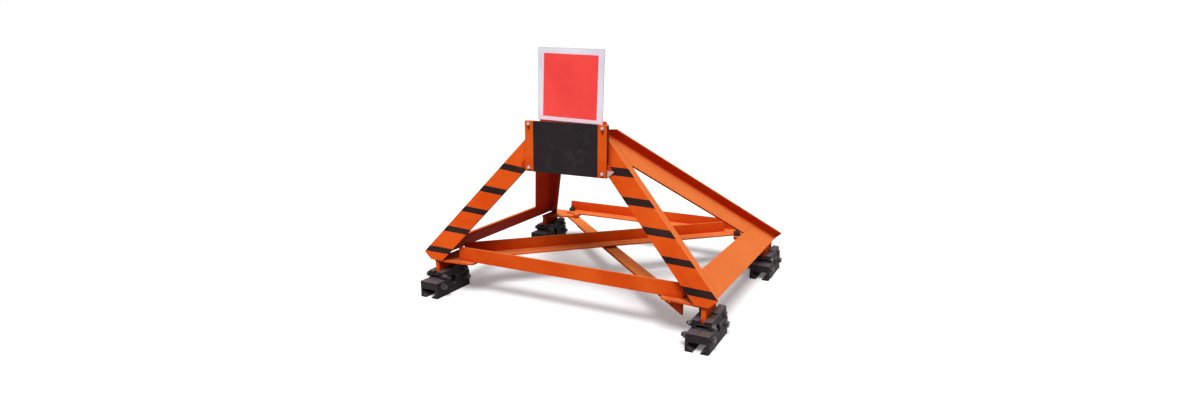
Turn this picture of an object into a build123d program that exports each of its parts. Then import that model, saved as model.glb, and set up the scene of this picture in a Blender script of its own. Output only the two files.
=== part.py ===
from build123d import *
from math import asin, atan2, cos, degrees, hypot, radians, sin, tan
import os

os.makedirs("parts", exist_ok=True)

# A track-end buffer stop. Two side frames of welded tee sections lean together over the track and
# carry a padded buffer plate. Four two-half castings clamp the frames to the heads of the rails.
# X runs across the track, Y away from the approaching train, Z up. The rail clamps stand on z = 0.

# Track
gauge = 1435
rail_head_width = 73
rail_centre = (gauge + rail_head_width) / 2

# Rail clamps: where each one stands, and its lower block, which wraps the rail head
clamp_front_end = {"front": -707, "rear": 417}
clamp_length = 290
lower_width = 114
lower_height = 88
head_clearance = 6.5
head_roof = 48
lip_root = 24
lip_tip = 6
neck_width = 36
split_gap = 2
ledge_chamfer = 5
casting_chamfer = 5

# Upper block of a clamp, which holds the foot of the frame in a tee slot
shelf_length = 62
upper_width = 96
jaw_top = 131
jaw_lip = 12
tee_slot_floor = 93
bar_start = 165
bar_end_margin = 6
bar_height = 8
bar_inset = 1.5
window_length = 40
window_radius = 8

# Transverse bolts of a clamp
lower_bolt_radius = 10
lower_bolt_height = 60
lower_bolt_start = 45
upper_bolt_radius = 8
upper_bolt_height = 109
upper_bolt_start = 72
rear_bolt_margin = 40
bolt_clearance = 0.5
bolt_end_length = 10
bolt_flats_ratio = 3
bolt_head_ratio = 1.3
bolt_nut_ratio = 1.6
washer_ratio = 0.35
washer_radius_ratio = 1.85
washer_sides = 16
shank_sides = 12

# Feet: a horizontal plate with a stem and a tee head welded below it
foot_plate_top = 195
foot_plate_thickness = 10
stem_thickness = 22
stem_clearance = 1
tee_head_width = 52
tee_side_clearance = 4
tee_rest_clearance = 0.3
tee_head_height = 20
tee_end_clearance = 2
foot_inner_inset = 214
foot_tip_inset = {"front": 222, "rear": 194}
foot_edges = {"front": (-632, -608, -470, -430), "rear": (705, 705, 585, 490)}
foot_corner_radius = 22

# Buffer plate, rubber pad and the two bars that clamp the pad's edges. The legs' outer edges
# leave the plate's sides at leg_exit_height, and the heights of the plate's edges follow it.
leg_exit_height = 890
beam_width = 452
beam_rise = 78
beam_drop = 174
beam_top = leg_exit_height + beam_rise
beam_bottom = leg_exit_height - beam_drop
beam_lead = 32.2
plate_thickness = 10
pad_thickness = 16
strip_width = 47
pad_width = beam_width - 2 * strip_width
packing_tip_rise = 16
packing_depth = 100
lug_reach = 34
lug_height = 63
lug_forward = 18

# Side frames: tee sections with their webs in one leaning plane
frame_foot_outset = 32
frame_foot_x = rail_centre + frame_foot_outset
tee_flange_width = 110
tee_flange = 10
tee_web = 9
tee_root_radius = 9
sill_depth = 149
front_leg_depth = 161
front_leg_base_y = -643
front_leg_tilt = 8
front_leg_rise = 60
front_leg_top = leg_exit_height + front_leg_rise
rear_leg_depth = 146
rear_leg_base_y = 655
rear_leg_tilt = 46.9
rear_leg_rise = 40
rear_leg_top = leg_exit_height + rear_leg_rise
cope_length = 30
cope_width = 7
cope_drop = 128
cope_back = 96

# Braces: angle bars on the foot plates, and one below them
brace_leg = 75
brace_thickness = 8
brace_root_radius = 8
front_brace_inset = 114
front_brace_y = -580
rear_brace_inset = 104
rear_brace_y = 705
diagonal_end_clearance = 4
upper_diagonal_shift = -109
lower_diagonal_inset = {"front": 117, "rear": 189}
lower_diagonal_setback = {"front": 15, "rear": 68}

# Sign board and the angle that carries it
sign_width = 357
sign_height = 347
sign_thickness = 3
sign_centre_x = 22
sign_turn = 1.4
sign_rest_gap = 0.3
bracket_leg = 17
bracket_thickness = 4
bracket_left_x = -150
bracket_right_x = 215


def save(name, shape):
    """Write one named piece to its own file."""
    export_step(shape, f"parts/{name}.step")


def profile(points):
    """A flat face from the corner points of an outline."""
    return make_face(Polyline(*points, close=True))


# Lean of the frames that takes a leg's outer edge from its foot to the buffer plate's side.
leg_rise = leg_exit_height - foot_plate_top
leg_run = frame_foot_x - beam_width / 2
edge_angle = asin(tee_flange_width / 2 / hypot(leg_rise, leg_run))
frame_lean = degrees(edge_angle + atan2(leg_run, leg_rise))

# Leaning plane of the right-hand side frame: local x is world Y, local y runs up the slope.
frame_plane = Plane(
    origin=(frame_foot_x, 0, foot_plate_top),
    x_dir=(0, 1, 0),
    z_dir=(cos(radians(frame_lean)), 0, sin(radians(frame_lean))),
)


def slope_to(height):
    """Distance up the leaning plane to a world height."""
    return (height - foot_plate_top) / cos(radians(frame_lean))


def flange_edge_x(height, side):
    """World X of a leg's flange at a height: its outer edge for side 1, its inner edge for -1."""
    middle = frame_foot_x - (height - foot_plate_top) * tan(radians(frame_lean))
    return middle + side * tee_flange_width / 2 / cos(radians(frame_lean))


def flange_edge_y(height):
    """World Y of a leg's flange at a height on its outer edge."""
    edge_rise = tee_flange_width / 2 * sin(radians(frame_lean))
    up_slope = slope_to(height - edge_rise)
    return front_leg_base_y + up_slope * tan(radians(front_leg_tilt))


# The pad's face stands a set distance in front of the place where the legs leave the plate.
beam_front_y = flange_edge_y(leg_exit_height) - beam_lead


class Member:
    """A straight tee in the leaning plane. Its flange's outer face runs through base, and tilt
    turns the member from straight up the slope towards +Y. The web points along inward."""

    def __init__(self, base_y, base_v, tilt, web_side, depth):
        turn = radians(tilt)
        along_y = sin(turn)
        along_v = cos(turn)
        self.base = frame_plane.from_local_coords((base_y, base_v, 0))
        self.axis = frame_plane.x_dir * along_y + frame_plane.y_dir * along_v
        across = frame_plane.x_dir * along_v - frame_plane.y_dir * along_y
        self.inward = across * web_side
        self.depth = depth

    def section(self):
        """The tee's outline, with its flange at the origin."""
        half_flange = tee_flange_width / 2
        half_web = tee_web / 2
        outline = profile(
            [
                (0, -half_flange),
                (tee_flange, -half_flange),
                (tee_flange, -half_web),
                (self.depth, -half_web),
                (self.depth, half_web),
                (tee_flange, half_web),
                (tee_flange, half_flange),
                (0, half_flange),
            ]
        )
        roots = outline.vertices().filter_by(
            lambda v: abs(v.X - tee_flange) < 0.01 and abs(v.Y) < half_flange - 0.01
        )
        return fillet(roots, tee_root_radius)

    def bar(self, back, forward):
        """The tee between two distances from its base along its axis."""
        start = self.base - self.axis * back
        plane = Plane(origin=start, x_dir=self.inward, z_dir=self.axis)
        return extrude(plane * self.section(), back + forward)

    def cut_plane(self, offset):
        """Plane parallel to the flange, offset towards the web, facing the web."""
        return Plane(origin=self.base + self.inward * offset, z_dir=self.inward)


front_leg = Member(front_leg_base_y, 0, front_leg_tilt, 1, front_leg_depth)
rear_leg = Member(rear_leg_base_y, 0, -rear_leg_tilt, -1, rear_leg_depth)
long_reach = 2000
base_plane = Plane(origin=(0, 0, foot_plate_top))


def above(shape, plane):
    """The part of a shape on the side that the plane faces."""
    return split(shape, bisect_by=plane, keep=Keep.TOP)


def below_height(shape, height):
    return split(shape, bisect_by=Plane(origin=(0, 0, height)), keep=Keep.BOTTOM)


def half_profile_lower():
    """Half of the lower block: roof, side wall and the lip that hooks under the rail head."""
    inner = split_gap / 2
    slot = rail_head_width / 2 + head_clearance
    neck = neck_width / 2
    side = lower_width / 2
    return profile(
        [
            (inner, head_roof),
            (slot, head_roof),
            (slot, lip_root),
            (neck, lip_tip),
            (neck, 0),
            (side, 0),
            (side, lower_height - ledge_chamfer),
            (side - ledge_chamfer, lower_height),
            (inner, lower_height),
        ]
    )


def half_profile_upper():
    """Half of the upper block: the wall and lip of the tee slot."""
    inner = split_gap / 2
    side = upper_width / 2
    stem = stem_thickness / 2 + stem_clearance
    slot = tee_head_width / 2 + tee_side_clearance
    return profile(
        [
            (inner, lower_height),
            (side, lower_height),
            (side, jaw_top),
            (stem, jaw_top),
            (stem, jaw_top - jaw_lip),
            (slot, jaw_top - jaw_lip),
            (slot, tee_slot_floor),
            (inner, tee_slot_floor),
        ]
    )


def along_clamp(face, start, end):
    """Extrude a cross-section of a clamp between two distances from its front end."""
    section_plane = Plane(origin=(0, end, 0), x_dir=(1, 0, 0), z_dir=(0, -1, 0))
    return extrude(section_plane * face, end - start)


def bolt_places():
    """Each transverse bolt as distance from the front end, height and shank radius."""
    rear_start = clamp_length - rear_bolt_margin
    lower = [(y, lower_bolt_height, lower_bolt_radius) for y in (lower_bolt_start, rear_start)]
    upper = [(y, upper_bolt_height, upper_bolt_radius) for y in (upper_bolt_start, rear_start)]
    return lower + upper


def clamp_half():
    """The half casting on the +X side of a rail, with its front end at y = 0."""
    lower = along_clamp(half_profile_lower(), 0, clamp_length)
    corners = lower.edges().filter_by(Axis.Z).group_by(Axis.X)[-1]
    lower = chamfer(corners, casting_chamfer)
    upper = along_clamp(half_profile_upper(), shelf_length, clamp_length)
    corners = upper.edges().filter_by(Axis.Z).group_by(Axis.X)[-1]
    upper = chamfer(corners, casting_chamfer)
    bar_inner = stem_thickness / 2 + stem_clearance
    bar_outer = upper_width / 2 - bar_inset
    bar_face = profile(
        [
            (bar_inner, jaw_top),
            (bar_outer, jaw_top),
            (bar_outer, jaw_top + bar_height - ledge_chamfer),
            (bar_outer - ledge_chamfer, jaw_top + bar_height),
            (bar_inner, jaw_top + bar_height),
        ]
    )
    bar = along_clamp(bar_face, bar_start, clamp_length - bar_end_margin)
    half = lower + upper + bar
    for y, z, radius in bolt_places():
        hole = Plane(origin=(0, y, z), z_dir=(1, 0, 0)) * Circle(radius + bolt_clearance)
        half -= extrude(hole, lower_width)
    window_height = tee_slot_floor - head_roof
    window_plane = Plane(
        origin=(0, clamp_length / 2, head_roof + window_height / 2),
        x_dir=(0, 1, 0),
        z_dir=(1, 0, 0),
    )
    window = RectangleRounded(window_length, window_height, window_radius)
    return half - extrude(window_plane * window, lower_width)


def clamp_bolt(y, z, radius):
    """A bolt across a clamp, from the shank's end behind its nut to its head. Its thickness
    ratios are to the shank's radius, and few-sided prisms stand for its round parts."""
    washer = radius * washer_ratio
    head = radius * bolt_head_ratio
    nut = radius * bolt_nut_ratio
    wall = lower_width / 2 if z < lower_height else upper_width / 2
    base = Plane(origin=(-wall - washer - nut, y, z), x_dir=(0, 1, 0), z_dir=(1, 0, 0))
    hexagon = RegularPolygon(radius * bolt_flats_ratio / 2, 6, major_radius=False)
    disc = RegularPolygon(radius * washer_radius_ratio, washer_sides)
    far_washer = nut + washer + 2 * wall
    shank = RegularPolygon(radius, shank_sides)
    body = extrude(base.offset(-bolt_end_length) * shank, far_washer + bolt_end_length)
    body += extrude(base * hexagon, nut)
    body += extrude(base.offset(nut) * disc, washer)
    body += extrude(base.offset(far_washer) * disc, washer)
    body += extrude(base.offset(far_washer + washer) * hexagon, head)
    return body


def foot(end):
    """Foot plate, stem and tee head on the right-hand side. The head lies between the upper bolts."""
    outer_edge, tip, inner_tip, inner_edge = foot_edges[end]
    outer_x = rail_centre + stem_thickness / 2
    outline = profile(
        [
            (outer_x, outer_edge),
            (rail_centre - foot_tip_inset[end], tip),
            (rail_centre - foot_inner_inset, inner_tip),
            (outer_x, inner_edge),
        ]
    )
    tips = outline.vertices().sort_by(Axis.X)[0:2]
    plate_bottom = foot_plate_top - foot_plate_thickness
    plate_plane = Plane(origin=(0, 0, plate_bottom))
    plate = extrude(plate_plane * fillet(tips, foot_corner_radius), foot_plate_thickness)
    front = clamp_front_end[end] + upper_bolt_start + upper_bolt_radius + tee_end_clearance
    back = clamp_front_end[end] + clamp_length - rear_bolt_margin - upper_bolt_radius - tee_end_clearance
    head_top = jaw_top - jaw_lip - tee_rest_clearance
    head_bottom = head_top - tee_head_height
    stem_half = stem_thickness / 2
    head_half = tee_head_width / 2
    tee = profile(
        [
            (-stem_half, plate_bottom),
            (-stem_half, head_top),
            (-head_half, head_top),
            (-head_half, head_bottom),
            (head_half, head_bottom),
            (head_half, head_top),
            (stem_half, head_top),
            (stem_half, plate_bottom),
        ]
    )
    tee_plane = Plane(origin=(rail_centre, back, 0), x_dir=(1, 0, 0), z_dir=(0, -1, 0))
    return plate + extrude(tee_plane * tee, back - front)


def angle_bar(start, along, level_leg, upright_leg, length):
    """An angle whose legs point along level_leg and upright_leg from its outer corner."""
    corner = profile(
        [
            (0, 0),
            (brace_leg, 0),
            (brace_leg, brace_thickness),
            (brace_thickness, brace_thickness),
            (brace_thickness, brace_leg),
            (0, brace_leg),
        ]
    )
    root = corner.vertices().filter_by(
        lambda v: abs(v.X - brace_thickness) < 0.01 and abs(v.Y - brace_thickness) < 0.01
    )
    corner = fillet(root, brace_root_radius)
    along = Vector(*along).normalized()
    level_leg = Vector(*level_leg).normalized()
    if along.cross(level_leg).dot(Vector(*upright_leg)) < 0:
        start = Vector(*start) + along * length
        along = along * -1
    return extrude(Plane(origin=start, x_dir=level_leg, z_dir=along) * corner, length)


def make_side_frame():
    """Right-hand front leg, rear leg and sill, each trimmed where it is welded to the others."""
    # The sill is a flat bar in line with the webs. Its lower inner edge is level with the tops of
    # the foot plates.
    sill_foot = tee_web / 2 * tan(radians(frame_lean))
    sill_seat = Plane(
        origin=frame_plane.from_local_coords((0, sill_foot, 0)),
        z_dir=frame_plane.y_dir,
    )
    leg_back = front_leg.cut_plane(tee_flange)
    heel = rear_leg.cut_plane(tee_flange)
    sill_middle = frame_plane * Pos(0, sill_foot + sill_depth / 2)
    sill_bar = sill_middle * Box(2 * long_reach, sill_depth, tee_web)
    sill_bar = above(above(sill_bar, leg_back), heel)
    leg = above(above(front_leg.bar(0, long_reach), base_plane), sill_seat)
    leg = below_height(above(leg, heel), front_leg_top)
    leg = leg - beam_box() - front_layer(-beam_width / 2, beam_width / 2)
    sill_bar = sill_bar - leg
    back_leg = above(above(rear_leg.bar(long_reach, long_reach), base_plane), sill_seat)
    back_leg = below_height(above(back_leg, leg_back), rear_leg_top)
    back_leg = back_leg - sill_bar - leg
    cope_v = slope_to(front_leg_top - cope_drop)
    cope_y = front_leg_base_y + cope_v * tan(radians(front_leg_tilt)) + cope_back
    cope = frame_plane * Pos(cope_y, cope_v, -tee_web) * Rot(0, 0, 90 - front_leg_tilt)
    leg -= extrude(cope * SlotOverall(cope_length, cope_width), 2 * tee_web)
    return leg, back_leg, sill_bar


def beam_box():
    """Space taken by the buffer plate."""
    back_y = beam_front_y + pad_thickness + plate_thickness
    height = beam_top - beam_bottom
    centre = Pos(0, back_y - plate_thickness / 2, beam_bottom + height / 2)
    return centre * Box(beam_width, plate_thickness, height)


def front_layer(left_x, right_x):
    """A slab in front of the buffer plate between two places across the track."""
    height = beam_top - beam_bottom
    middle = Pos((left_x + right_x) / 2, beam_front_y + pad_thickness / 2, beam_bottom + height / 2)
    return middle * Box(right_x - left_x, pad_thickness, height)


def against_flange(face, depth, forward=0):
    """A cross-section beside the plate's back, run to the leg's flange and forward of that back."""
    back_y = beam_front_y + pad_thickness + plate_thickness
    plane = Plane(origin=(0, back_y + depth, 0), x_dir=(1, 0, 0), z_dir=(0, -1, 0))
    solid = extrude(plane * face, depth + forward)
    return split(solid, bisect_by=front_leg.cut_plane(0), keep=Keep.BOTTOM)


def packing():
    """Wedge between the leg's flange and the plate's back."""
    side = beam_width / 2
    tip_height = leg_exit_height + packing_tip_rise
    tip_x = flange_edge_x(tip_height, -1)
    face = profile(
        [
            (side, beam_bottom),
            (side, leg_exit_height),
            (flange_edge_x(front_leg_top, 1), front_leg_top),
            (tip_x, front_leg_top),
            (tip_x, tip_height),
        ]
    )
    return against_flange(face, packing_depth)


def lug():
    """Triangular gusset between the plate's side and the leg's flange."""
    side = beam_width / 2
    face = profile(
        [
            (side, beam_bottom),
            (side + lug_reach, beam_bottom + lug_reach * tan(radians(frame_lean))),
            (side, beam_bottom + lug_height),
        ]
    )
    return against_flange(face, lug_reach, lug_forward)


def sign_bracket():
    """Angle on the plate's top, with its upright leg behind the sign."""
    length = bracket_right_x - bracket_left_x
    face_y = beam_front_y + pad_thickness + sign_thickness
    angle = profile(
        [
            (face_y, beam_top),
            (face_y + bracket_leg, beam_top),
            (face_y + bracket_leg, beam_top + bracket_thickness),
            (face_y + bracket_thickness, beam_top + bracket_thickness),
            (face_y + bracket_thickness, beam_top + bracket_leg),
            (face_y, beam_top + bracket_leg),
        ]
    )
    angle_plane = Plane(origin=(bracket_left_x, 0, 0), x_dir=(0, 1, 0), z_dir=(1, 0, 0))
    return extrude(angle_plane * angle, length)


def sign_plate():
    """Square sheet, turned a little in its own plane so that it rests on one lower corner."""
    face_y = beam_front_y + pad_thickness + sign_thickness / 2
    corner_drop = sign_width / 2 * sin(radians(sign_turn))
    middle_z = beam_top + sign_rest_gap + corner_drop + sign_height / 2
    middle = Pos(sign_centre_x, face_y, middle_z)
    return middle * Rot(0, sign_turn, 0) * Box(sign_width, sign_thickness, sign_height)


def make_braces():
    """Front and rear cross braces and the two diagonals."""
    top = foot_plate_top
    under = foot_plate_top - foot_plate_thickness
    front_half = rail_centre - front_brace_inset
    rear_half = rail_centre - rear_brace_inset
    front_start = (-front_half, front_brace_y, top)
    rear_start = (-rear_half, rear_brace_y, top)
    front = angle_bar(front_start, (1, 0, 0), (0, 1, 0), (0, 0, 1), 2 * front_half)
    rear = angle_bar(rear_start, (1, 0, 0), (0, -1, 0), (0, 0, 1), 2 * rear_half)
    save("brace_front", front)
    save("brace_rear", rear)
    # The upper diagonal runs at 45 degrees and stops short of both cross braces.
    side_step = brace_leg / 2 * cos(radians(45))
    corner_x = upper_diagonal_shift / 2
    start = (corner_x - side_step - long_reach, side_step - corner_x - long_reach, top)
    upper = angle_bar(start, (1, 1, 0), (1, -1, 0), (0, 0, 1), 2 * long_reach / cos(radians(45)))
    first_y = front_brace_y + brace_leg + diagonal_end_clearance
    last_y = rear_brace_y - brace_leg - diagonal_end_clearance
    upper = above(upper, Plane(origin=(0, first_y, 0), z_dir=(0, 1, 0)))
    save("brace_diagonal_upper", above(upper, Plane(origin=(0, last_y, 0), z_dir=(0, -1, 0))))
    # The lower diagonal's ends are set from the rails and from the cross braces' faces.
    rear_x = lower_diagonal_inset["rear"] - rail_centre
    rear_y = rear_brace_y - lower_diagonal_setback["rear"]
    front_x = rail_centre - lower_diagonal_inset["front"]
    front_y = front_brace_y + lower_diagonal_setback["front"]
    start = Vector(rear_x, rear_y, under)
    run = Vector(front_x, front_y, under) - start
    level_leg = Vector(run.Y, -run.X, 0)
    save("brace_diagonal_lower", angle_bar(start, run, level_leg, (0, 0, -1), run.length))


leg, back_leg, sill_bar = make_side_frame()
feet = {end: foot(end) for end in ("front", "rear")}
for shoe in feet.values():
    sill_bar = sill_bar - shoe
for side, flip in (("right", False), ("left", True)):
    for name, piece in (
        ("leg_front", leg),
        ("leg_rear", back_leg),
        ("sill", sill_bar),
        ("foot_front", feet["front"]),
        ("foot_rear", feet["rear"]),
        ("beam_packing", packing()),
        ("beam_lug", lug()),
    ):
        save(f"{name}_{side}", mirror(piece, about=Plane.YZ) if flip else piece)

casting = clamp_half()
opposite = mirror(casting, about=Plane.YZ)
bolts = Compound(children=[clamp_bolt(*place) for place in bolt_places()])
for end, front_end in clamp_front_end.items():
    for side, sign in (("right", 1), ("left", -1)):
        place = Pos(sign * rail_centre, front_end, 0)
        outer = casting if sign > 0 else opposite
        inner = opposite if sign > 0 else casting
        save(f"clamp_{end}_{side}_outer", place * outer)
        save(f"clamp_{end}_{side}_inner", place * inner)
        turned = bolts if sign > 0 else mirror(bolts, about=Plane.YZ)
        save(f"clamp_bolts_{end}_{side}", place * turned)

make_braces()
save("buffer_plate", beam_box())
save("rubber_pad", front_layer(-pad_width / 2, pad_width / 2))
save("pad_strip_left", front_layer(-beam_width / 2, -pad_width / 2))
save("pad_strip_right", front_layer(pad_width / 2, beam_width / 2))
save("sign_bracket", sign_bracket())
save("sign_plate", sign_plate())
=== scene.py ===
import math

import bmesh
import bpy
from mathutils import Matrix, Vector


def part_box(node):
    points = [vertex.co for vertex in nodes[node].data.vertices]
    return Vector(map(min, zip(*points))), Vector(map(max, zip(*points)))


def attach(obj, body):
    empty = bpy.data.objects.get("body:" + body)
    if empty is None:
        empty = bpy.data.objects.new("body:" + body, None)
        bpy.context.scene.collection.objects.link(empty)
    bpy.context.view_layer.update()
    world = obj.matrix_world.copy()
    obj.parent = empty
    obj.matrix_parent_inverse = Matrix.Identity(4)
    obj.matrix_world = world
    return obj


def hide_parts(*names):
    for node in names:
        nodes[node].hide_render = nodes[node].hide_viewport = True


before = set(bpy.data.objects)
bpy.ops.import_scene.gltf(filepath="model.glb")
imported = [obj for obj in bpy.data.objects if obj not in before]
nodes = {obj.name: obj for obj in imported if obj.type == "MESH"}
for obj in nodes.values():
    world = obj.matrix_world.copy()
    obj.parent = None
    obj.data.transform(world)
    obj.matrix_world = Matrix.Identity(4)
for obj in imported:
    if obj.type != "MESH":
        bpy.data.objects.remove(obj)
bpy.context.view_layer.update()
plateLow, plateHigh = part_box("buffer_plate")
padLow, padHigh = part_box("rubber_pad")
signLow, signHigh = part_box("sign_plate")
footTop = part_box("foot_front_left")[1].z
print("frame loaded,", len(nodes), "CAD nodes")


# Each side frame stands on its foot plates and leans over the track, with its webs in one plane.
# Its foot is set out from the rail's middle, and its lean takes the flanges' outer edges to the
# buffer plate's sides, at the exit drop below the plate's top. A leg's outer face starts at the
# base, and its web stands behind that face, 1 for away from the train and -1 for towards it.
sideFrame = {
    "footOutset": 0.032, "splitGap": 0.002, "exitDrop": 0.078, "flangeHalf": 0.055, "webHalf": 0.0045,
    "front": {"base": -0.643, "tilt": math.radians(8), "way": 1},
    "rear": {"base": 0.655, "tilt": math.radians(46.9), "way": -1},
}
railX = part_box("clamp_front_right_outer")[0].x - sideFrame["splitGap"] / 2
footX = railX + sideFrame["footOutset"]
rise = plateHigh.z - sideFrame["exitDrop"] - footTop
run = footX - plateHigh.x
lean = math.asin(sideFrame["flangeHalf"] / math.hypot(rise, run)) + math.atan2(run, rise)


def legPoint(leg, upLeg, depth):
    # the place along the track and up the slope of a point up a leg and behind its outer face
    along = upLeg * math.sin(leg["tilt"]) + depth * math.cos(leg["tilt"])
    upSlope = upLeg * math.cos(leg["tilt"]) - depth * math.sin(leg["tilt"])
    return leg["base"] + leg["way"] * along, upSlope


def framePoint(sign, y, upSlope, out=0.0):
    # a point in the plane of the right (1) or left (-1) side frame, or out of it by some distance
    x = footX - upSlope * math.sin(lean) + out * math.cos(lean)
    return Vector((sign * x, y, footTop + upSlope * math.cos(lean) + out * math.sin(lean)))


def colour(hexValue):
    # sRGB hex to the linear values that shaders take
    parts = [int(hexValue[i:i + 2], 16) / 255 for i in (1, 3, 5)]
    return (*[p / 12.92 if p <= 0.04045 else ((p + 0.055) / 1.055) ** 2.4 for p in parts], 1)


def addNode(tree, kind, inputs=None, **settings):
    # Inputs go by name or number, as plain values or as links from other nodes. A MapRange takes
    # its value, low, high, start and end as 0 to 4, and a colour Mix its factor and colours as 0, 6, 7.
    node = tree.nodes.new("ShaderNode" + kind)
    for name, value in settings.items():
        setattr(node, name, value)
    for key, value in (inputs or {}).items():
        if isinstance(value, bpy.types.NodeSocket):
            tree.links.new(value, node.inputs[key])
        else:
            node.inputs[key].default_value = value
    return node.outputs


def startMaterial(name, hexValue):
    material = bpy.data.materials.new(name)
    material.use_nodes = True
    material.diffuse_color = colour(hexValue)
    material.node_tree.nodes.clear()
    return material, material.node_tree


def surfacePatterns(tree, noises):
    # the place on the piece, its flat normal, and noises given by width in mm, detail and roughness
    place = addNode(tree, "TexCoord")["Object"]
    normal = addNode(tree, "NewGeometry")["Normal"]
    noise = {}
    for name, (width, detail, roughness) in noises.items():
        noise[name] = addNode(tree, "TexNoise", {"Vector": place, "Scale": 1000 / width, "Detail": detail,
                                                 "Roughness": roughness})["Fac"]
    return place, normal, noise


def findArrises(tree, normal, widthMm, start, full, most=1.0):
    # a normal that is rounded at the arrises, and a mask of where it leaves the flat one
    rounded = addNode(tree, "Bevel", {"Radius": widthMm / 1000}, samples=6)[0]
    together = addNode(tree, "VectorMath", {0: rounded, 1: normal}, operation="DOT_PRODUCT")["Value"]
    return rounded, addNode(tree, "MapRange", {0: together, 1: start, 2: full, 4: most})[0]


def layTints(tree, base, rows):
    # one tint over another: a pattern, where the tint starts and is full, how much it covers, its hex
    for pattern, start, full, most, tint in rows:
        amount = addNode(tree, "MapRange", {0: pattern, 1: start, 2: full, 4: most})[0]
        base = addNode(tree, "Mix", {0: amount, 6: base, 7: colour(tint)}, data_type="RGBA")[2]
    return base


# The bands of each front leg: the heights of their edges where x is 0, how much they drop for
# each metre to the right, and how much steeper that gets with their height. Behind the leg's outer
# face the black is full down to the first skin depth and gone at the second, and its edges waver.
bandSizes = {
    "right": {"heights": [(0.2370, 0.2690), (0.3585, 0.3905), (0.4790, 0.5110), (0.6020, 0.6370),
                          (0.7330, 0.7710)],
              "tilt": 0.0, "fan": 0.0},
    "left": {"heights": [(0.2057, 0.2307), (0.3116, 0.3391), (0.4209, 0.4499), (0.5363, 0.5674),
                         (0.6591, 0.6908)],
             "tilt": 0.0035, "fan": 0.193},
    "skin": (0.0012, 0.0022), "wobble": 0.0024, "tone": "#2A1E1E", "worn": "#3C2B27",
}


def layBands(tree, base, place, noise, side):
    # black warning bands, masked off by hand, on the outer face of the flange alone
    bands = bandSizes[side]
    parts = addNode(tree, "SeparateXYZ", {0: place})
    level = addNode(tree, "Math", {0: parts["X"], 1: bands["tilt"], 2: parts["Z"]},
                    operation="MULTIPLY_ADD")[0]
    spread = addNode(tree, "Math", {0: parts["X"], 1: -bands["fan"], 2: 1.0}, operation="MULTIPLY_ADD")[0]
    level = addNode(tree, "Math", {0: level, 1: spread}, operation="DIVIDE")[0]
    level = addNode(tree, "Math", {0: noise["brush"], 1: bandSizes["wobble"], 2: level},
                    operation="MULTIPLY_ADD")[0]
    striped = addNode(tree, "ValToRGB", {"Fac": level})["Color"]
    stops = striped.node.color_ramp
    stops.interpolation = "CONSTANT"
    stops.elements[0].color = (0, 0, 0, 1)
    stops.elements.remove(stops.elements[1])
    for low, high in bands["heights"]:
        stops.elements.new(low + bandSizes["wobble"] / 2).color = (1, 1, 1, 1)
        stops.elements.new(high + bandSizes["wobble"] / 2).color = (0, 0, 0, 1)

    # the outer face leans with its frame and tilts with its leg
    front = sideFrame["front"]
    sign = 1 if side == "right" else -1
    inward = Vector((sign * math.sin(front["tilt"]) * math.sin(lean), math.cos(front["tilt"]),
                     -math.sin(front["tilt"]) * math.cos(lean)))
    face = inward.dot(framePoint(sign, *legPoint(front, 0, 0)))
    depth = addNode(tree, "VectorMath", {0: place, 1: inward}, operation="DOT_PRODUCT")["Value"]
    full, start = bandSizes["skin"]
    skin = addNode(tree, "MapRange", {0: depth, 1: face + start, 2: face + full})[0]
    painted = addNode(tree, "Math", {0: striped, 1: skin}, operation="MULTIPLY")[0]
    black = layTints(tree, colour(bandSizes["tone"]), [(noise["cloud"], 0.4, 0.65, 1.0, bandSizes["worn"])])
    return addNode(tree, "Mix", {0: painted, 6: base, 7: black}, data_type="RGBA")[2]


# A painted shadow below each bolt: its middle is below the bolt, it reaches this far to each side,
# and its width is the squash times its height
boltShadowSizes = {"below": 0.019, "reach": 0.011, "squash": 0.6, "core": 0.4, "most": 0.85, "tone": "#7A1E06"}


def layBoltShadow(tree, base, place, x, z):
    # painted shadow, darker orange, that runs down below the bolt at x and z
    boltShadow = boltShadowSizes
    away = addNode(tree, "Mapping", {"Vector": place, "Scale": (1, 0, boltShadow["squash"]),
                                     "Location": (-x, 0, (boltShadow["below"] - z) * boltShadow["squash"])})[0]
    distance = addNode(tree, "VectorMath", {0: away}, operation="LENGTH")["Value"]
    core = boltShadow["reach"] * boltShadow["core"]
    return layTints(tree, base, [(distance, boltShadow["reach"], core, boltShadow["most"], boltShadow["tone"])])


# under and corner are the deep reds of painted shade, underneath and in inner corners; warm also tints
# painted light on what faces up
paintSizes = {
    "tone": "#E25A1C", "deep": "#D64A12", "warm": "#FF8E4A", "corner": "#A01F08", "under": "#D0300C",
    "dust": "#E39458", "worn": "#FFAA76", "chip": "#4A2A20", "sideShade": "#33110D", "paleTone": "#D2B9B2",
    "noises": {"cloud": (220, 4.0, 0.5), "brush": (9, 2.0, 0.5), "grime": (60, 5.0, 0.7),
               "chips": (16, 4.0, 0.5), "sags": (14, 2.0, 0.5)},
    "arrisMm": 2.2, "cornerMm": 260, "dirtAndShade": 0.55, "paleUp": 0.044, "ragged": 0.02, "fray": 0.004,
}


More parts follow.
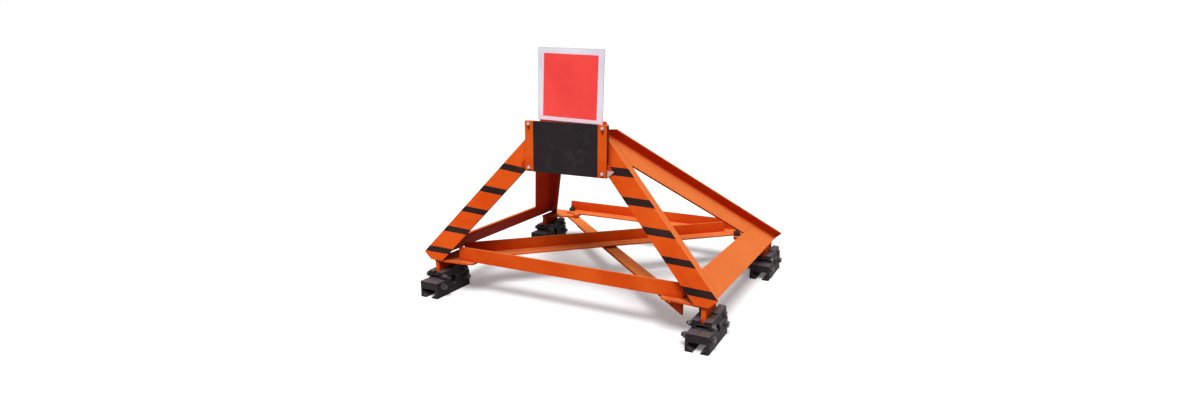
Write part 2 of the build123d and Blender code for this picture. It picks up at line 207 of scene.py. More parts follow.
def chalkedEnamel(name, bandsOn=None, boltShadowsAt=(), shadedSides=False, deepShade=False, paleBelow=None):
    # Alkyd enamel brushed over hot-rolled steel and chalked by the weather: a full orange with
    # hardly any gloss, paler on the arrises, dusty and paler from painted light where it faces up,
    # and deep red from painted shade underneath and in the corners
    look = paintSizes
    material, tree = startMaterial(name, look["tone"])
    place, normal, noise = surfacePatterns(tree, look["noises"])
    up = addNode(tree, "SeparateXYZ", {0: normal})["Z"]
    openness = addNode(tree, "AmbientOcclusion", {"Distance": look["cornerMm"] / 1000}, samples=8)["AO"]

    # cloudy tone, brush marks, painted light that makes what faces up paler, and then painted shade
    # that keeps the undersides and inner corners deep red
    base = layTints(tree, colour(look["deep"]), [
        (noise["cloud"], 0.38, 0.62, 1.0, look["tone"]),
        (noise["brush"], 0.55, 0.75, 0.1, look["warm"]),
        (up, 0.2, 0.7, 0.5, look["warm"]),
        (up, -0.15, -0.6, 0.85, look["under"]),
        (openness, 0.86, 0.36, 0.8, look["corner"])])

    # dust lies in patches on what faces up
    upward = addNode(tree, "MapRange", {0: up, 1: 0.35, 2: 0.95})[0]
    patchy = addNode(tree, "MapRange", {0: noise["grime"], 1: 0.42, 2: 0.72, 3: 0.25, 4: 0.6})[0]
    dusty = addNode(tree, "Math", {0: upward, 1: patchy}, operation="MULTIPLY")[0]

    # where nothing stands close, the arrises are rubbed pale and chipped to the steel
    rounded, arris = findArrises(tree, normal, look["arrisMm"], 0.985, 0.86, 0.4)
    outer = addNode(tree, "MapRange", {0: openness, 1: 0.7, 2: 0.92})[0]
    arris = addNode(tree, "Math", {0: arris, 1: outer}, operation="MULTIPLY")[0]
    chips = addNode(tree, "MapRange", {0: noise["chips"], 1: 0.57, 2: 0.65, 4: 1.8})[0]
    chipped = addNode(tree, "Math", {0: arris, 1: chips}, operation="MULTIPLY")[0]
    base = layTints(tree, base, [
        (dusty, 0.0, 1.0, 1.0, look["dust"]),
        (arris, 0.0, 1.0, 1.0, look["worn"]),
        (chipped, 0.0, 1.0, 1.0, look["chip"])])

    if shadedSides:
        # painted shade, near black, on the faces that look to the sides of the plate and bars
        across = addNode(tree, "SeparateXYZ", {0: normal})["X"]
        across = addNode(tree, "Math", {0: across}, operation="ABSOLUTE")[0]
        base = layTints(tree, base, [(across, 0.6, 0.9, 0.75, look["sideShade"])])
    if deepShade:
        # painted shade: the whole piece is mixed towards the deep red of the inner corners
        base = addNode(tree, "Mix", {0: look["dirtAndShade"], 6: base, 7: colour(look["corner"])},
                       data_type="RGBA")[2]
    if paleBelow:
        # paler below a ragged line
        height = addNode(tree, "SeparateXYZ", {0: place})["Z"]
        height = addNode(tree, "Math", {0: noise["grime"], 1: look["ragged"], 2: height},
                         operation="MULTIPLY_ADD")[0]
        base = layTints(tree, base, [(height, paleBelow + look["fray"], paleBelow, 0.8, look["paleTone"])])
    # painted shadows below the bolts
    for x, z in boltShadowsAt:
        base = layBoltShadow(tree, base, place, x, z)
    if bandsOn:
        base = layBands(tree, base, place, noise, bandsOn)

    # sags in the paint are under a millimetre high, and drawn 14 mm wide so that they show
    bump = addNode(tree, "Bump", {"Strength": 0.12, "Distance": 0.0012, "Height": noise["sags"],
                                  "Normal": rounded})[0]
    gloss = addNode(tree, "MapRange", {0: noise["cloud"], 1: 0.3, 2: 0.7, 3: 0.5, 4: 0.62})[0]
    gloss = addNode(tree, "Math", {0: upward, 1: 0.3, 2: gloss}, operation="MULTIPLY_ADD")[0]
    shader = addNode(tree, "BsdfPrincipled", {"Base Color": base, "Roughness": gloss, "Normal": bump,
                                              "IOR": 1.5, "Specular IOR Level": 0.01})[0]
    addNode(tree, "OutputMaterial", {"Surface": shader})
    return material


# Blasting grit leaves a finer grain than this, which is drawn coarse enough to show
castSizes = {
    "tone": "#201819", "dark": "#0F0A0B", "lit": "#766A72", "bloom": "#6B5848", "rust": "#4E3026",
    "rubbed": "#9A8C92", "shade": "#120E10",
    "noises": {"patch": (70, 5.0, 0.5), "pit": (11, 4.0, 0.5), "grain": (3.2, 3.0, 0.5)},
    "arrisMm": 3, "cornerMm": 60, "pitDepth": 1.6,
}


def blastedCastSteel(name):
    # Sand-cast steel, shot-blasted and left with its dark bloom: matt and grainy, grey on the tops from
    # painted light, nearly black on the walls, with painted shade in the hollows, and pale on its
    # rubbed corners
    look = castSizes
    material, tree = startMaterial(name, look["tone"])
    place, normal, noise = surfacePatterns(tree, look["noises"])
    up = addNode(tree, "SeparateXYZ", {0: normal})["Z"]
    upward = addNode(tree, "MapRange", {0: up, 1: 0.3, 2: 0.95})[0]
    brown = addNode(tree, "MapRange", {0: noise["patch"], 1: 0.45, 2: 0.62, 4: 0.55})[0]
    brownTops = addNode(tree, "Math", {0: upward, 1: brown}, operation="MULTIPLY")[0]
    openness = addNode(tree, "AmbientOcclusion", {"Distance": look["cornerMm"] / 1000}, samples=8)["AO"]
    rounded, arris = findArrises(tree, normal, look["arrisMm"], 0.98, 0.8)
    worn = addNode(tree, "MapRange", {0: noise["grain"], 1: 0.35, 2: 0.6, 3: 0.15, 4: 0.55})[0]
    wornArris = addNode(tree, "Math", {0: arris, 1: worn}, operation="MULTIPLY")[0]
    # the upward lit row is painted light on the tops, and the openness row is painted shade in the hollows
    base = layTints(tree, colour(look["dark"]), [
        (noise["patch"], 0.36, 0.62, 1.0, look["tone"]),
        (noise["grain"], 0.45, 0.75, 0.16, look["lit"]),
        (upward, 0.0, 1.0, 0.6, look["lit"]),
        (brownTops, 0.0, 1.0, 1.0, look["bloom"]),
        (noise["pit"], 0.62, 0.74, 0.3, look["rust"]),
        (openness, 0.8, 0.3, 0.8, look["shade"]),
        (wornArris, 0.0, 1.0, 1.0, look["rubbed"])])

    relief = addNode(tree, "Math", {0: noise["pit"], 1: look["pitDepth"], 2: noise["grain"]},
                     operation="MULTIPLY_ADD")[0]
    bump = addNode(tree, "Bump", {"Strength": 0.45, "Distance": 0.0012, "Height": relief,
                                  "Normal": rounded})[0]
    gloss = addNode(tree, "MapRange", {0: noise["patch"], 1: 0.3, 2: 0.7, 3: 0.6, 4: 0.78})[0]
    shader = addNode(tree, "BsdfPrincipled", {"Base Color": base, "Roughness": gloss, "Normal": bump,
                                              "Metallic": 0.2, "Specular IOR Level": 0.2})[0]
    addNode(tree, "OutputMaterial", {"Surface": shader})
    return material


boltLook = {
    "rust": "#6B452E", "hiddenShade": "#150F10", "hiddenShadeMm": 40,
    "noises": {"wear": (6, 4.0, 0.5), "grain": (1.6, 2.0, 0.5)},
}


def weatheredBolt(name, bright, dull, rustShare):
    # Forged bolts, zinc plated and long out of doors: dull grey flats with brown spots, and
    # painted shade, near black, where they are hidden
    look = boltLook
    material, tree = startMaterial(name, bright)
    _, _, noise = surfacePatterns(tree, look["noises"])
    openness = addNode(tree, "AmbientOcclusion", {"Distance": look["hiddenShadeMm"] / 1000}, samples=8)["AO"]
    base = layTints(tree, colour(dull), [
        (noise["wear"], 0.38, 0.6, 1.0, bright),
        (noise["wear"], 0.56, 0.72, rustShare, look["rust"]),
        (openness, 0.7, 0.25, 0.9, look["hiddenShade"])])
    bump = addNode(tree, "Bump", {"Strength": 0.3, "Distance": 0.0004, "Height": noise["grain"]})[0]
    gloss = addNode(tree, "MapRange", {0: noise["wear"], 1: 0.3, 2: 0.7, 3: 0.42, 4: 0.62})[0]
    shader = addNode(tree, "BsdfPrincipled", {"Base Color": base, "Roughness": gloss, "Normal": bump,
                                              "Metallic": 0.7})[0]
    addNode(tree, "OutputMaterial", {"Surface": shader})
    return material


rubberSizes = {
    "tone": "#20181B", "dark": "#181215", "dust": "#50454A",
    "noises": {"cloud": (150, 5.0, 0.5), "scuff": (70, 6.0, 0.72), "grain": (2.2, 2.0, 0.5)},
    "across": 5, "upright": 7,
}


def scuffedRubber(name, middle):
    # Black vulcanised rubber sheet: matt, with a grey bloom and dried dust rubbed into the middle
    look = rubberSizes
    material, tree = startMaterial(name, look["tone"])
    place, _, noise = surfacePatterns(tree, look["noises"])
    away = addNode(tree, "Mapping", {
        "Vector": place, "Scale": (look["across"], 0, look["upright"]),
        "Location": (-middle.x * look["across"], 0, -middle.z * look["upright"])})[0]
    reach = addNode(tree, "VectorMath", {0: away}, operation="LENGTH")["Value"]
    centre = addNode(tree, "MapRange", {0: reach, 1: 1.1, 2: 0.2, 3: 0.25, 4: 1.0})[0]
    dusty = addNode(tree, "MapRange", {0: noise["scuff"], 1: 0.5, 2: 0.78, 4: 0.55})[0]
    dusty = addNode(tree, "Math", {0: centre, 1: dusty}, operation="MULTIPLY")[0]
    base = layTints(tree, colour(look["dark"]), [
        (noise["cloud"], 0.35, 0.65, 1.0, look["tone"]),
        (dusty, 0.0, 1.0, 1.0, look["dust"])])
    bump = addNode(tree, "Bump", {"Strength": 0.35, "Distance": 0.0006, "Height": noise["grain"]})[0]
    gloss = addNode(tree, "MapRange", {0: noise["cloud"], 1: 0.3, 2: 0.7, 3: 0.62, 4: 0.78})[0]
    gloss = addNode(tree, "Math", {0: dusty, 1: 0.2, 2: gloss}, operation="MULTIPLY_ADD")[0]
    shader = addNode(tree, "BsdfPrincipled", {"Base Color": base, "Roughness": gloss, "Normal": bump,
                                              "IOR": 1.52, "Specular IOR Level": 0.15})[0]
    addNode(tree, "OutputMaterial", {"Surface": shader})
    return material


# The square and the board are given by half their sizes. The square is turned a little on the
# board, and the board a little on its bracket. The border turns rosy between the heights and
# between the distances from the square that are given as rosyLow and rosyNear.
signSizes = {
    "red": "#FF4A44", "redDeep": "#F2403C", "white": "#EDE9F2", "whiteShade": "#DCD8E4",
    "rose": "#FFD2E2", "zinc": "#A9ACAF", "dirtAndShade": "#B8A79C", "rimTone": "#A9A8AE",
    "square": (0.14675, 0.15025), "squareAt": (0.0002, -0.0042), "squareTurn": math.radians(1.8),
    "board": (0.1785, 0.1735), "boardTurn": math.radians(1.4), "rim": 0.0022, "blur": 0.0006,
    "rosyLow": (-0.110, -0.165), "rosyNear": (0.011, 0.001), "rosy": 0.7, "spangle": 0.12,
    "noises": {"wave": (120, 3.0, 0.5), "grime": (35, 5.0, 0.7)}, "spangleMm": 12,
}


def outsideOf(tree, place, centre, turn, half, shift=(0.0, 0.0)):
    # how far a place is outside a turned rectangle, below 0 inside it, and the place seen from it
    turned = addNode(tree, "Mapping", {"Vector": place, "Location": centre, "Rotation": (0, turn, 0)},
                     vector_type="TEXTURE")[0]
    parts = addNode(tree, "SeparateXYZ", {0: turned})
    past = []
    for axis, size, offset in (("X", half[0], shift[0]), ("Z", half[1], shift[1])):
        value = addNode(tree, "Math", {0: parts[axis], 1: offset}, operation="SUBTRACT")[0]
        value = addNode(tree, "Math", {0: value}, operation="ABSOLUTE")[0]
        past.append(addNode(tree, "Math", {0: value, 1: size}, operation="SUBTRACT")[0])
    return addNode(tree, "Math", {0: past[0], 1: past[1]}, operation="MAXIMUM")[0], parts


def enamelledSheet(name, centre):
    # Baked enamel on zinc-coated sheet: a bright red square, a cool white border with a rosy
    # edge where the red has bled under the clear coat, and spangled bare zinc behind
    look = signSizes
    material, tree = startMaterial(name, look["red"])
    place, normal, noise = surfacePatterns(tree, look["noises"])
    edge, parts = outsideOf(tree, place, centre, look["squareTurn"], look["square"], look["squareAt"])
    rim = outsideOf(tree, place, centre, look["boardTurn"], look["board"])[0]
    start, full = look["rosyLow"]
    low = addNode(tree, "MapRange", {0: parts["Z"], 1: start, 2: full, 4: look["rosy"]})[0]
    start, full = look["rosyNear"]
    near = addNode(tree, "MapRange", {0: edge, 1: start, 2: full, 4: look["rosy"]})[0]
    rosy = addNode(tree, "Math", {0: low, 1: near}, operation="MAXIMUM")[0]

    # the enamel thins out to grey along the cut edges, and dirt gathers at the bottom
    white = layTints(tree, colour(look["whiteShade"]), [
        (noise["wave"], 0.35, 0.65, 1.0, look["white"]),
        (rosy, 0.0, 1.0, 1.0, look["rose"]),
        (rim, -look["rim"], -look["rim"] / 2, 0.8, look["rimTone"])])
    red = layTints(tree, colour(look["redDeep"]), [(noise["wave"], 0.3, 0.7, 1.0, look["red"])])
    inside = addNode(tree, "MapRange", {0: edge, 1: look["blur"], 2: -look["blur"]})[0]
    base = addNode(tree, "Mix", {0: inside, 6: white, 7: red}, data_type="RGBA")[2]
    grimy = addNode(tree, "MapRange", {0: noise["grime"], 1: 0.5, 2: 0.8, 4: 0.3})[0]
    grimy = addNode(tree, "Math", {0: low, 1: grimy}, operation="MULTIPLY")[0]
    base = layTints(tree, base, [(grimy, 0.0, 1.0, 1.0, look["dirtAndShade"])])

    # only the face that looks at the train is enamelled
    front = addNode(tree, "SeparateXYZ", {0: normal})["Y"]
    behind = addNode(tree, "MapRange", {0: front, 1: -0.9, 2: -0.5})[0]
    spangle = addNode(tree, "TexVoronoi", {"Vector": place, "Scale": 1000 / look["spangleMm"]})["Color"]
    zinc = addNode(tree, "Mix", {0: look["spangle"], 6: colour(look["zinc"]), 7: spangle},
                   data_type="RGBA", blend_type="SOFT_LIGHT")[2]
    base = addNode(tree, "Mix", {0: behind, 6: base, 7: zinc}, data_type="RGBA")[2]
    bump = addNode(tree, "Bump", {"Strength": 0.06, "Distance": 0.002, "Height": noise["wave"]})[0]
    gloss = addNode(tree, "MapRange", {0: noise["grime"], 1: 0.3, 2: 0.7, 3: 0.3, 4: 0.4})[0]
    gloss = addNode(tree, "Math", {0: behind, 1: 0.15, 2: gloss}, operation="MULTIPLY_ADD")[0]
    shader = addNode(tree, "BsdfPrincipled", {"Base Color": base, "Roughness": gloss, "Normal": bump,
                                              "IOR": 1.5, "Specular IOR Level": 0.25})[0]
    addNode(tree, "OutputMaterial", {"Surface": shader})
    return material


# Four bolts hold the pad's bars, set in from the plate's sides and the pad's top and bottom
padBolt = {
    "inset": 0.022, "top": 0.014, "bottom": 0.020, "washer": 0.0014, "washerRadius": 0.0092,
    "head": 0.0052, "corner": 0.0078, "washerSides": 28, "washerChamfer": 0.0004, "chamfer": 0.001,
    "firstTurn": 0.3, "turn": 0.8,
}
padBoltPlaces = [(sign * (plateHigh.x - padBolt["inset"]), z) for sign in (-1, 1)
                 for z in (padHigh.z - padBolt["top"], padLow.z + padBolt["bottom"])]

paint = chalkedEnamel("chalkedAlkydEnamel")
# the strips get painted shadows below their bolts, and strips and plate get painted shade on their side
# faces
stripPaint = chalkedEnamel("chalkedAlkydEnamelBoltShadows", shadedSides=True, boltShadowsAt=padBoltPlaces)
platePaint = chalkedEnamel("chalkedAlkydEnamelShadedSides", shadedSides=True)
castings = blastedCastSteel("shotBlastedCastSteel")
clampBoltMetal = weatheredBolt("weatheredZincBolt", "#6A6264", "#2C2629", 0.35)
# painted shade: a near-black copy of the bolt metal for the shanks, which lie in the clamps' shaded slots
shankMetal = weatheredBolt("shadedBoltShank", "#2C2628", "#161213", 0.1)
padBoltMetal = weatheredBolt("brightZincBolt", "#D8CCC8", "#A89C98", 0.3)
darkBoltMetal = weatheredBolt("oiledBlackBolt", "#4A4244", "#241F21", 0.3)
finishes = {
    "rubber_pad": scuffedRubber("vulcanisedRubberSheet", (padLow + padHigh) / 2),
    "sign_plate": enamelledSheet("bakedEnamelOnZinc", (signLow + signHigh) / 2),
    # both lugs carry painted shade all over
    "beam_lug_right": chalkedEnamel("chalkedAlkydEnamelPaleBelow", deepShade=True,
                                    paleBelow=plateLow.z + paintSizes["paleUp"]),
    "beam_lug_left": chalkedEnamel("chalkedAlkydEnamelDark", deepShade=True),
    "buffer_plate": platePaint,
}
for side in ("left", "right"):
    banded = "chalkedAlkydEnamelBanded" + side.capitalize()
    finishes["leg_front_" + side] = chalkedEnamel(banded, bandsOn=side)
    finishes["pad_strip_" + side] = stripPaint
    finishes["beam_packing_" + side] = platePaint
for name, node in nodes.items():
    finish = finishes.get(name, paint)
    if name.startswith("clamp"):
        finish = clampBoltMetal if "bolts" in name else castings
    node.data.materials.clear()
    node.data.materials.append(finish)
print("finishes on", len(nodes), "nodes")


def finishPiece(bm, name, material, smooth=False):
    bmesh.ops.remove_doubles(bm, verts=bm.verts, dist=1e-6)
    bmesh.ops.recalc_face_normals(bm, faces=bm.faces)
    mesh = bpy.data.meshes.new(name)
    bm.to_mesh(mesh)
    bm.free()
    for face in mesh.polygons:
        face.use_smooth = smooth
    mesh.materials.append(material)
    piece = bpy.data.objects.new(name, mesh)
    bpy.context.scene.collection.objects.link(piece)
    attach(piece, "root")
    return piece


def facing(start, direction, spin=0.0):
    # matrix whose Z runs along a direction, and which is turned about it by the spin
    turn = Vector(direction).to_track_quat("Z", "X").to_matrix().to_4x4()
    return Matrix.Translation(start) @ turn @ Matrix.Rotation(spin, 4, "Z")


def edgesOf(verts):
    # each edge once, in an order that is the same on each run
    return list(dict.fromkeys(e for v in verts for e in v.link_edges))


def slab(bm, matrix, radius, start, depth, sides, chamfer=0.0):
    # a round or many-sided slab that starts at a distance along the matrix's Z
    place = matrix @ Matrix.Translation((0, 0, start + depth / 2))
    made = bmesh.ops.create_cone(bm, cap_ends=True, segments=sides, radius1=radius,
                                 radius2=radius, depth=depth, matrix=place)["verts"]
    if chamfer:
        rims = [e for e in edgesOf(made) if len([f for f in e.link_faces if len(f.verts) > 4]) == 1]
        bmesh.ops.bevel(bm, geom=rims, offset=chamfer, affect="EDGES", segments=2, profile=0.5, material=-1)


def boltEnd(bm, matrix, bolt, tall, unit=1.0):
    # a washer, and on it a hexagon that is a head or a nut
    washer = bolt["washer"] * unit
    slab(bm, matrix, bolt["washerRadius"] * unit, 0, washer, bolt["washerSides"], bolt["washerChamfer"])
    slab(bm, matrix, bolt["corner"] * unit, washer, tall, 6, bolt["chamfer"])


def startRun(bm, matrix, radius, sides):
    # a closed disc that pullRing draws out into a run
    ring = bmesh.ops.create_circle(bm, segments=sides, radius=radius, matrix=matrix)["verts"]
    edges = edgesOf(ring)
    bmesh.ops.contextual_create(bm, geom=edges)
    return edges


def pullRing(bm, edges, matrix, distance, grow):
    # extrude an open ring along the matrix's Z and scale it about the axis
    axis = (matrix.to_3x3() @ Vector((0, 0, 1))).normalized()
    made = bmesh.ops.extrude_edge_only(bm, edges=edges)["geom"]
    verts = [g for g in made if isinstance(g, bmesh.types.BMVert)]
    bmesh.ops.translate(bm, verts=verts, vec=axis * distance)
    middle = sum((v.co for v in verts), Vector()) / len(verts)
    bmesh.ops.scale(bm, verts=verts, vec=(grow, grow, grow), space=Matrix.Translation(-middle))
    return [g for g in made if isinstance(g, bmesh.types.BMEdge)]


threadShape = {"sides": 24, "root": 0.9}


def threadEnd(bm, matrix, radius, start, length, pitch):
    # a screw thread as rings that shrink to the root and swell once per pitch, closed at its tip
    root = threadShape["root"]
    edges = startRun(bm, matrix @ Matrix.Translation((0, 0, start)), radius, threadShape["sides"])
    steps = max(2, round(length / pitch) * 2)
    for step in range(steps):
        edges = pullRing(bm, edges, matrix, length / steps, root if step % 2 == 0 else 1 / root)
    bmesh.ops.contextual_create(bm, geom=edges)


# Bolts through the clamps, with nuts and thread ends towards the middle of the track. A wall is
# half the clamp's width there, and starts are measured from the clamp's near end.
clampBolt = {
    "lower": {"radius": 0.010, "height": 0.060, "starts": (0.045, 0.250), "wall": 0.057},
    "upper": {"radius": 0.008, "height": 0.109, "starts": (0.072, 0.250), "wall": 0.048},
    # times the bolt's radius; the corners give flats that are three radii apart
    "washer": 0.35, "washerRadius": 1.85, "corner": math.sqrt(3), "head": 1.3, "nut": 1.6, "thread": 0.97,
    "washerSides": 36, "washerChamfer": 0.0005, "chamfer": 0.0009, "shankSides": 24,
    "end": 0.010, "sunk": 0.001, "pitch": 0.0022, "turn": 0.37,
}
shanks = bmesh.new()
for end in ("front", "rear"):
    for side, sign in (("right", 1), ("left", -1)):
        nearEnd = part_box(f"clamp_{end}_{side}_outer")[0].y
        bm = bmesh.new()
        count = 0
        for row in (clampBolt["lower"], clampBolt["upper"]):
            radius = row["radius"]
            nutTop = radius * (clampBolt["washer"] + clampBolt["nut"])
            for start in row["starts"]:
                count += 1
                middle = Vector((sign * railX, nearEnd + start, row["height"]))
                for way, kind in ((-sign, "nut"), (sign, "head")):
                    wall = facing(middle + Vector((way * row["wall"], 0, 0)), (way, 0, 0),
                                  count * clampBolt["turn"] + way)
                    boltEnd(bm, wall, clampBolt, radius * clampBolt[kind], radius)
                    if kind == "nut":
                        threadEnd(bm, wall, radius * clampBolt["thread"], nutTop - clampBolt["sunk"],
                                  clampBolt["end"] + clampBolt["sunk"], clampBolt["pitch"])
                shank = facing(middle - Vector((row["wall"], 0, 0)), (1, 0, 0))
                slab(shanks, shank, radius, 0, 2 * row["wall"], clampBolt["shankSides"])
        name = f"clampBolts{end.capitalize()}{side.capitalize()}"
        bolts = finishPiece(bm, name, clampBoltMetal)
        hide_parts(f"clamp_bolts_{end}_{side}")
finishPiece(shanks, "clampBoltShanks", shankMetal)
print("clamp bolts made")


bm = bmesh.new()
for i, (x, z) in enumerate(padBoltPlaces):
    seat = facing((x, padLow.y, z), (0, -1, 0), padBolt["firstTurn"] + i * padBolt["turn"])
    boltEnd(bm, seat, padBolt, padBolt["head"])
finishPiece(bm, "padBolts", padBoltMetal)


# Bolts that hold the braces and diagonals to the foot plates. Each place is x, y and how many
# bars lie on the plate and under it there. The painted ones have their heads up.
braceBolt = {
    "corner": 0.0195, "nut": 0.017, "head": 0.012, "chamfer": 0.0014,
    "washer": 0.003, "washerRadius": 0.0215, "washerSides": 32, "washerChamfer": 0.0006,
    "stud": 0.009, "studUp": 0.013, "sunk": 0.001, "pitch": 0.0025, "turn": 0.7,
    "bar": 0.008, "plate": 0.010,
    "dark": [(-0.637, 0.685, 1, 0), (0.614, 0.672, 1, 0), (-0.590, -0.545, 1, 0), (0.568, -0.549, 1, 1),
             (0.558, 0.614, 1, 0)],
    "painted": [(-0.545, -0.440, 1, 0), (-0.552, 0.585, 0, 1)],
}
for name, places, metal, slot in (("braceBolts", braceBolt["dark"], darkBoltMetal, "bolt_steel"),
                                  ("braceBoltsPainted", braceBolt["painted"], paint, "frame_paint")):
    bm = bmesh.new()
    nutTop = braceBolt["washer"] + braceBolt["nut"]
    upper, lower = ("head", "nut") if metal == paint else ("nut", "head")
    for i, (x, y, above, below) in enumerate(places):
        top = footTop + above * braceBolt["bar"]
        under = footTop - braceBolt["plate"] - below * braceBolt["bar"]
        for z, way, kind in ((top, 1, upper), (under, -1, lower)):
            seat = facing((x, y, z), (0, 0, way), i * braceBolt["turn"] + way)
            boltEnd(bm, seat, braceBolt, braceBolt[kind])
            if kind == "nut":
                threadEnd(bm, seat, braceBolt["stud"], nutTop - braceBolt["sunk"], braceBolt["studUp"],
                          braceBolt["pitch"])
    finishPiece(bm, name, metal)
print("small bolts made")


# A bead is a run of rings that narrow and swell once for each ripple of the welding rod
beadShape = {"sides": 8, "ripple": 0.005, "mostRings": 100, "swell": 0.86, "tip": 0.006, "tipShare": 0.7}


def weldBead(bm, start, end, width):
    # painted fillet weld, half sunk in the corner that it fills
    start, end = Vector(start), Vector(end)
    length = (end - start).length
    matrix = facing(start, end - start)
    swell, tip, share = beadShape["swell"], beadShape["tip"], beadShape["tipShare"]
    edges = startRun(bm, matrix, width / 2 * share, beadShape["sides"])
    edges = pullRing(bm, edges, matrix, length * tip, 1 / share)
    steps = max(4, min(beadShape["mostRings"], round(length / beadShape["ripple"]) * 2))
    advance = length * (1 - 2 * tip) / steps
    for step in range(steps):
        edges = pullRing(bm, edges, matrix, advance, swell if step % 2 == 0 else 1 / swell)
    edges = pullRing(bm, edges, matrix, length * tip, share)
    bmesh.ops.contextual_create(bm, geom=edges)


# Where the beads run. The first three groups lie in the side frames' planes, and the rest is given
# for the right-hand side.
weld = {
    "fillet": 0.0042, "butt": 0.0028,
    # up the front leg, along its web's back edge: on the sill, and on the rear leg's web
    "webDepth": 0.161, "onSill": (0.030, 0.176), "onRearWeb": (0.797, 1.015),
    # the rear leg's web on the sill, along the track and up the slope
    "sillRun": (0.474, 0.280), "sillTop": 0.1531,
    # up the rear leg, in the root of its flange, at the sill's end
    "rootDepth": 0.019, "inRoot": (0.022, 0.214),
    # across the foot plates, under the legs: the first and last x and y
    "feet": [(0.713, -0.6245, 0.763, -0.6300), (0.713, 0.6035, 0.763, 0.6395),
             (0.713, 0.5875, 0.763, 0.6235)],
    # round the stems under the foot plates, measured from the clamp's near end and the rail's middle
    "stemRun": (0.082, 0.240), "stemHalf": 0.011, "stemEnd": 0.010,
    # up the sides of the buffer plate: along the packing from the plate's bottom and top, along the
    # lug from the plate's bottom
    "packingRun": (0.066, 0.080), "lugRun": (0.004, 0.060), "lugOut": 0.006,
    # stitches behind the sign's bracket
    "stitches": 5, "stitchFrom": 0.012, "stitchPitch": 0.078, "stitch": 0.028,
}
frontLeg, rearLeg = sideFrame["front"], sideFrame["rear"]
seams = [
    (legPoint(frontLeg, weld["onSill"][0], weld["webDepth"]),
     legPoint(frontLeg, weld["onSill"][1], weld["webDepth"]), weld["butt"]),
    (legPoint(frontLeg, weld["onRearWeb"][0], weld["webDepth"]),
     legPoint(frontLeg, weld["onRearWeb"][1], weld["webDepth"]), weld["fillet"]),
    ((weld["sillRun"][0], weld["sillTop"]), (weld["sillRun"][1], weld["sillTop"]), weld["butt"]),
    (legPoint(rearLeg, weld["inRoot"][0], weld["rootDepth"]),
     legPoint(rearLeg, weld["inRoot"][1], weld["rootDepth"]), weld["butt"]),
]
for side, sign in (("left", -1), ("right", 1)):
    bm = bmesh.new()
    for out in (-sideFrame["webHalf"], sideFrame["webHalf"]):
        for first, last, width in seams:
            weldBead(bm, framePoint(sign, *first, out), framePoint(sign, *last, out), width)
    for x1, y1, x2, y2 in weld["feet"]:
        weldBead(bm, (sign * x1, y1, footTop), (sign * x2, y2, footTop), weld["fillet"])
    under = footTop - braceBolt["plate"]
    middle = sign * railX
    inner = middle - sign * weld["stemHalf"]
    for end in ("front", "rear"):
        y1, y2 = (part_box(f"clamp_{end}_{side}_outer")[0].y + part for part in weld["stemRun"])
        weldBead(bm, (inner, y1, under), (inner, y2, under), weld["fillet"])
        for y in (y1, y2):
            weldBead(bm, (middle - weld["stemEnd"], y, under), (middle + weld["stemEnd"], y, under),
                     weld["fillet"])
    x = sign * plateHigh.x
    low, high = plateLow.z + weld["packingRun"][0], plateHigh.z - weld["packingRun"][1]
    weldBead(bm, (x, plateHigh.y, low), (x, plateHigh.y, high), weld["fillet"])
    y = plateLow.y - weld["lugOut"]
    low, high = (plateLow.z + part for part in weld["lugRun"])
    weldBead(bm, (x, y, low), (x, y, high), weld["butt"])
    finishPiece(bm, "weldBeads" + side.capitalize(), paint, smooth=True)

bracketLow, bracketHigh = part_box("sign_bracket")
bm = bmesh.new()
for i in range(weld["stitches"]):
    x = bracketLow.x + weld["stitchFrom"] + i * weld["stitchPitch"]
    weldBead(bm, (x, bracketHigh.y, bracketLow.z), (x + weld["stitch"], bracketHigh.y, bracketLow.z),
             weld["butt"])
finishPiece(bm, "weldBeadsBracket", paint, smooth=True)
print("weld beads made")


def addSun(name, direction, strength, spread):
    light = bpy.data.lights.new(name, "SUN")
    light.energy = strength
    light.angle = math.radians(spread)
    lamp = bpy.data.objects.new(name, light)
    lamp.rotation_euler = Vector(direction).to_track_quat("Z", "Y").to_euler()
    bpy.context.scene.collection.objects.link(lamp)


def seenRays(tree):
    # 1 for what the camera sees, also in gloss and through glass, and 0 for the rays that light
    rays = addNode(tree, "LightPath")
    seen = addNode(tree, "Math", {0: rays["Is Camera Ray"], 1: rays["Is Glossy Ray"]},
                   operation="ADD", use_clamp=True)[0]
    return addNode(tree, "Math", {0: seen, 1: rays["Is Transmission Ray"]},
                   operation="ADD", use_clamp=True)[0]


stage = {
    "floor": 60, "floorSeen": "#F7F7F7", "floorLight": "#7C7C7C", "lift": 0.12, "sky": 0.38,
    "key": 3.0, "keyFrom": (0.20, -0.56, 0.80), "keySpread": 24,
    "fill": 0.35, "fillFrom": (-0.55, -0.75, 0.45), "fillSpread": 70,
}
bm = bmesh.new()
bmesh.ops.create_grid(bm, x_segments=1, y_segments=1, size=stage["floor"])
mesh = bpy.data.meshes.new("floor")
bm.to_mesh(mesh)
bm.free()
material, tree = startMaterial("paleFloor", stage["floorSeen"])
seen = seenRays(tree)
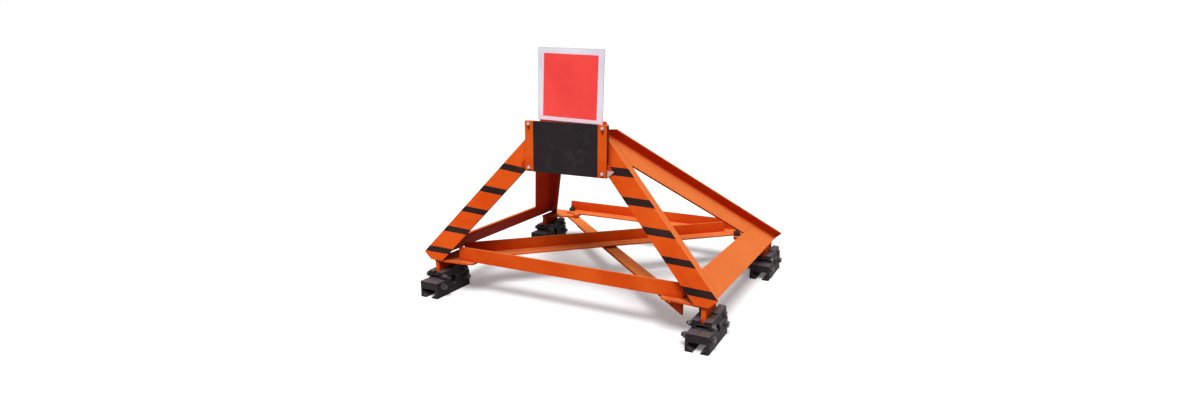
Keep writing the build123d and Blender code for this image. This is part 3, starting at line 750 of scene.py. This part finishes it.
# it looks nearly white, and the object gets the bounce of a grey floor
tone = addNode(tree, "Mix", {0: seen, 6: colour(stage["floorLight"]), 7: colour(stage["floorSeen"])},
               data_type="RGBA")[2]
shader = addNode(tree, "BsdfPrincipled", {"Base Color": tone, "Roughness": 0.9,
                                          "Specular IOR Level": 0.1})[0]
strength = addNode(tree, "Math", {0: seen, 1: stage["lift"]}, operation="MULTIPLY")[0]
lift = addNode(tree, "Emission", {"Color": (1, 1, 1, 1), "Strength": strength})[0]
both = addNode(tree, "AddShader", {0: shader, 1: lift})[0]
addNode(tree, "OutputMaterial", {"Surface": both})
mesh.materials.append(material)
floor = bpy.data.objects.new("floor", mesh)
bpy.context.scene.collection.objects.link(floor)
addSun("keyLight", stage["keyFrom"], stage["key"], stage["keySpread"])
addSun("fillLight", stage["fillFrom"], stage["fill"], stage["fillSpread"])

world = bpy.data.worlds.new("paleStudio")
bpy.context.scene.world = world
world.use_nodes = True
tree = world.node_tree
tree.nodes.clear()
sky = addNode(tree, "Background", {"Color": (1, 1, 1, 1), "Strength": stage["sky"]})[0]
white = addNode(tree, "Background", {"Color": (1, 1, 1, 1), "Strength": 1.0})[0]
both = addNode(tree, "MixShader", {0: seenRays(tree), 1: sky, 2: white})[0]
addNode(tree, "OutputWorld", {"Surface": both})

cameraSizes = {
    "place": (1.6414, -3.4664, 1.3386), "target": (-0.0927, 0.0, 0.4477),
    "roll": math.radians(0.37), "lens": 20.8563, "sensor": 36.0,
    "shiftX": 0.0017, "shiftY": 0.0033,
}
camera = bpy.data.cameras.new("camera")
camera.sensor_width = cameraSizes["sensor"]
camera.lens = cameraSizes["lens"]
camera.shift_x = cameraSizes["shiftX"]
camera.shift_y = cameraSizes["shiftY"]
view = bpy.data.objects.new("camera", camera)
look = Vector(cameraSizes["target"]) - Vector(cameraSizes["place"])
turn = look.to_track_quat("-Z", "Y").to_matrix().to_4x4()
view.matrix_world = (Matrix.Translation(cameraSizes["place"]) @ turn
                     @ Matrix.Rotation(cameraSizes["roll"], 4, "Z"))
bpy.context.scene.collection.objects.link(view)
bpy.context.scene.camera = view
bpy.context.scene.view_settings.view_transform = "Standard"
print("floor, light and camera set")
